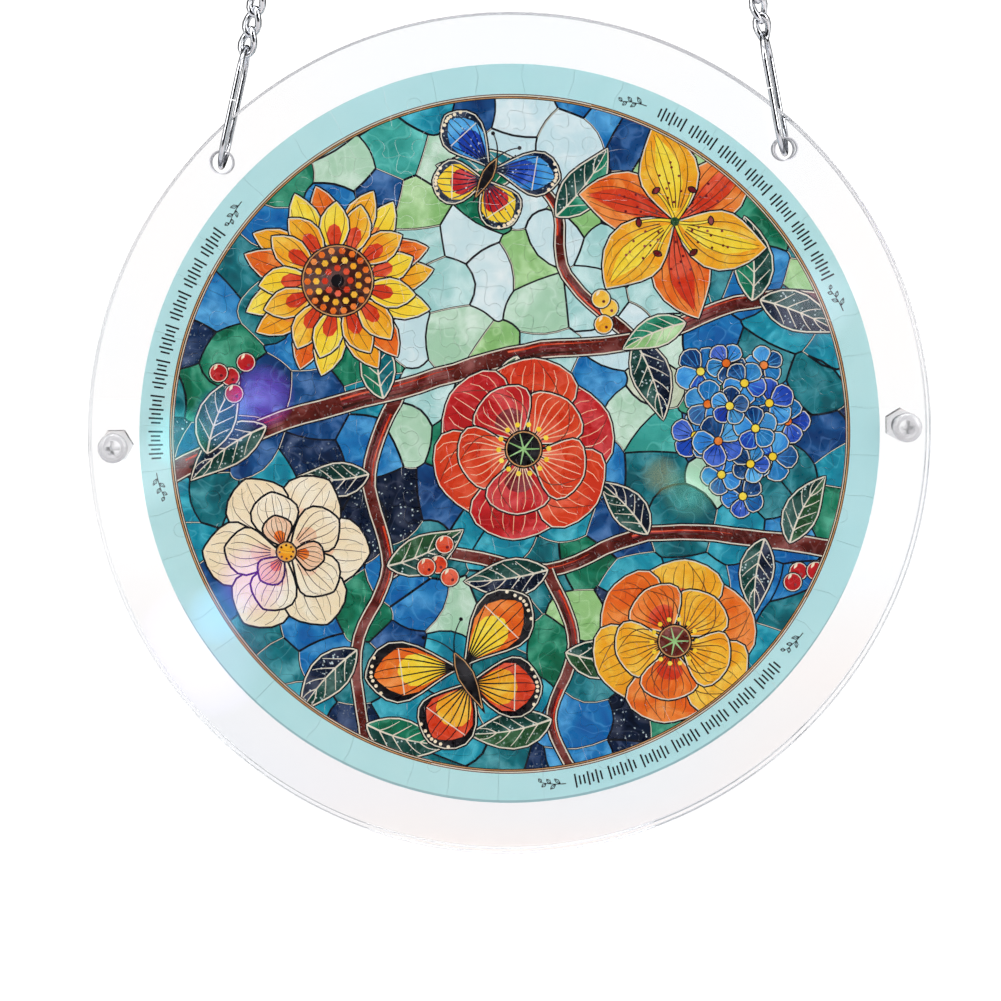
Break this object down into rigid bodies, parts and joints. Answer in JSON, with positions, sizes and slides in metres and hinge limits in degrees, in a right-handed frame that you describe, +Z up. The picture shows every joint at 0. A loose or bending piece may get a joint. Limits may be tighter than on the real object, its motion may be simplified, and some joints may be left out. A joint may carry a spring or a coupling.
{
  "type": "acrylic puzzle suncatcher",
  "caption": "Round printed acrylic jigsaw disc held between clear plates by plastic screws, hung by oval rings on a curb chain that lies over a hook.",
  "frame": {"origin": "where the hook bears, under the middle link of the chain", "axes": "+Z up along the pull of the hook, the picture faces -Y, +X to the right of someone who looks at the picture"},
  "size_m": [0.1998, 0.0172, 0.4648],
  "materials": {
    "clear_plates": "clear cast acrylic, polished faces, flame-polished edges",
    "printed_puzzle": "translucent printed acrylic, stained-glass style picture, laser-cut jigsaw lines",
    "clear_fasteners": "clear moulded plastic",
    "ring_steel": "polished steel wire",
    "chain_steel": "bright plated curb chain"
  },
  "bodies": {
    "root": {"front_plate": "clear_plates", "back_plate": "clear_plates", "puzzle": "printed_puzzle", "screw_left": "clear_fasteners", "screw_right": "clear_fasteners", "nut_left": "clear_fasteners", "nut_right": "clear_fasteners", "ring_left": "ring_steel", "ring_right": "ring_steel", "chain": "chain_steel"}
  },
  "joints": []
}
